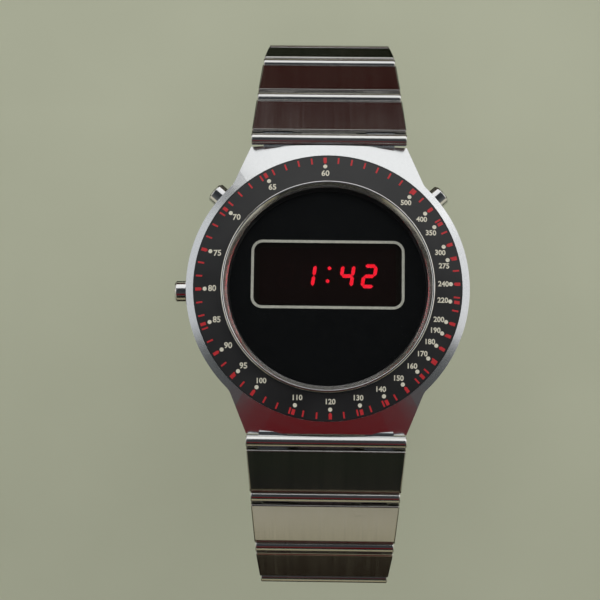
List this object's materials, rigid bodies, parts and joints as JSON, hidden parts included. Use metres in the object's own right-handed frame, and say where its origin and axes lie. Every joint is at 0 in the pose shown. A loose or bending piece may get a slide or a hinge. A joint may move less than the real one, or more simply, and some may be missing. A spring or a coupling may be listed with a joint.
{
  "type": "led wristwatch",
  "caption": "Round steel LED wristwatch with a black speed-scale insert, sprung push buttons, a tapering bracelet of hinged plates and rods, and a fold-over clasp.",
  "frame": {"origin": "centre of the case back's outer face", "axes": "+X towards 3 o'clock, +Y towards 12 o'clock along the bracelet, +Z out through the dial"},
  "size_m": [0.0418, 0.0838, 0.0394],
  "materials": {
    "steel_frosted": "fine frosted steel",
    "steel_plate": "brushed along the bracelet",
    "steel_polished": "polished",
    "steel_back": "satin",
    "steel_pin": "ground",
    "spring_steel": "drawn wire and thin sheet",
    "insert_black": "black anodised with a printed scale",
    "mask_black": "gloss black",
    "frame_silver": "satin silver",
    "crystal_glass": "clear mineral glass",
    "filter_tint": "dark red tint",
    "led_red": "glowing red",
    "tile_dark": "dark ceramic",
    "board_green": "lacquered laminate",
    "chip_black": "moulded",
    "holder_grey": "moulded",
    "can_nickel": "nickel plated",
    "trimmer_white": "moulded",
    "seal_rubber": "matt"
  },
  "bodies": {
    "head": {"case_middle": "steel_frosted", "case_back": "steel_back", "back_gasket": "seal_rubber", "battery_strap": "spring_steel", "battery_cells": "can_nickel", "module_holder": "holder_grey", "circuit_board": "board_green", "driver_chip": "chip_black", "quartz_can": "can_nickel", "rate_trimmer": "trimmer_white", "led_tile": "tile_dark", "led_segments": "led_red", "filter_window": "filter_tint", "dial_mask": "mask_black", "display_frame": "frame_silver", "crystal": "crystal_glass", "crystal_gasket": "seal_rubber", "crystal_rim": "steel_polished", "bezel_insert": "insert_black", "pusher_tubes": "steel_polished", "switch_contacts": "spring_steel", "spring_right": "spring_steel", "spring_left": "spring_steel", "spring_side": "spring_steel"},
    "button_right": {"pusher_right": "steel_polished"},
    "button_left": {"pusher_left": "steel_polished"},
    "button_side": {"pusher_side": "steel_polished"},
    "plate_u1": {"link_u1": "steel_plate", "rod_u1": "steel_polished"},
    "plate_u2": {"link_u2": "steel_plate", "rod_u2": "steel_polished"},
    "plate_u3": {"link_u3": "steel_plate", "rod_u3": "steel_polished"},
    "plate_u4": {"link_u4": "steel_plate", "rod_u4": "steel_polished"},
    "plate_u5": {"link_u5": "steel_plate", "rod_u5": "steel_polished"},
    "plate_u6": {"link_u6": "steel_plate", "rod_u6": "steel_polished"},
    "plate_l1": {"link_l1": "steel_plate", "rod_l1": "steel_polished"},
    "plate_l2": {"link_l2": "steel_plate", "rod_l2": "steel_polished"},
    "plate_l3": {"link_l3": "steel_plate", "rod_l3": "steel_polished"},
    "plate_l4": {"link_l4": "steel_plate", "rod_l4": "steel_polished"},
    "plate_l5": {"link_l5": "steel_plate", "rod_l5": "steel_polished"},
    "plate_l6": {"link_l6": "steel_plate", "rod_l6": "steel_polished", "cover_spring_bar": "steel_pin"},
    "fold_end": {"end_blade": "steel_plate", "end_spring_bar": "steel_pin", "fold_pin": "steel_pin"},
    "fold_middle": {"middle_blade": "steel_plate"},
    "cover": {"clasp_cover": "steel_plate", "cover_pin": "steel_pin"}
  },
  "joints": [
    {"name": "push_right", "type": "slide", "parent": "head", "child": "button_right", "axis": [-0.7547, -0.6561, 0], "range_m": [0, 0.0008], "stiffness_N_per_m": 1500, "deforming": ["spring_right"]},
    {"name": "push_left", "type": "slide", "parent": "head", "child": "button_left", "axis": [0.7547, -0.6561, 0], "range_m": [0, 0.0008], "stiffness_N_per_m": 1500, "deforming": ["spring_left"]},
    {"name": "push_side", "type": "slide", "parent": "head", "child": "button_side", "axis": [0.9998, 0.0175, 0], "range_m": [0, 0.0008], "stiffness_N_per_m": 1500, "deforming": ["spring_side"]},
    {"name": "pivot_u1", "type": "hinge", "parent": "head", "child": "plate_u1", "pos_m": [0, 0.0216, 0.0081], "axis": [1, 0, 0], "range_deg": [0, 33]},
    {"name": "pivot_u2", "type": "hinge", "parent": "plate_u1", "child": "plate_u2", "pos_m": [0, 0.02915, 0.0032], "axis": [1, 0, 0], "range_deg": [0, 5]},
    {"name": "pivot_u3", "type": "hinge", "parent": "plate_u2", "child": "plate_u3", "pos_m": [0, 0.03624, -0.00234], "axis": [1, 0, 0], "range_deg": [0, 20]},
    {"name": "pivot_u4", "type": "hinge", "parent": "plate_u3", "child": "plate_u4", "pos_m": [0, 0.04101, -0.00998], "axis": [1, 0, 0], "range_deg": [0, 43]},
    {"name": "pivot_u5", "type": "hinge", "parent": "plate_u4", "child": "plate_u5", "pos_m": [0, 0.03929, -0.01881], "axis": [1, 0, 0], "range_deg": [0, 39]},
    {"name": "pivot_u6", "type": "hinge", "parent": "plate_u5", "child": "plate_u6", "pos_m": [0, 0.0324, -0.02459], "axis": [1, 0, 0], "range_deg": [0, 25]},
    {"name": "pivot_l1", "type": "hinge", "parent": "head", "child": "plate_l1", "pos_m": [0, -0.0216, 0.0081], "axis": [-1, 0, 0], "range_deg": [0, 33]},
    {"name": "pivot_l2", "type": "hinge", "parent": "plate_l1", "child": "plate_l2", "pos_m": [0, -0.02915, 0.0032], "axis": [-1, 0, 0], "range_deg": [0, 5]},
    {"name": "pivot_l3", "type": "hinge", "parent": "plate_l2", "child": "plate_l3", "pos_m": [0, -0.03624, -0.00234], "axis": [-1, 0, 0], "range_deg": [0, 20]},
    {"name": "pivot_l4", "type": "hinge", "parent": "plate_l3", "child": "plate_l4", "pos_m": [0, -0.04101, -0.00998], "axis": [-1, 0, 0], "range_deg": [0, 43]},
    {"name": "pivot_l5", "type": "hinge", "parent": "plate_l4", "child": "plate_l5", "pos_m": [0, -0.03929, -0.01881], "axis": [-1, 0, 0], "range_deg": [0, 39]},
    {"name": "pivot_l6", "type": "hinge", "parent": "plate_l5", "child": "plate_l6", "pos_m": [0, -0.0324, -0.02459], "axis": [-1, 0, 0], "range_deg": [0, 25]},
    {"name": "clasp_swing", "type": "hinge", "parent": "plate_u6", "child": "fold_end", "pos_m": [0, 0.0237, -0.02692], "axis": [1, 0, 0], "range_deg": [0, 15]},
    {"name": "blade_hinge", "type": "hinge", "parent": "fold_end", "child": "fold_middle", "pos_m": [0, -0.0159, -0.02656], "axis": [-1, 0, 0], "range_deg": [0, 140]},
    {"name": "cover_hinge", "type": "hinge", "parent": "fold_middle", "child": "cover", "pos_m": [0, 0.0203, -0.02697], "axis": [1, 0, 0], "range_deg": [0, 120]}
  ]
}
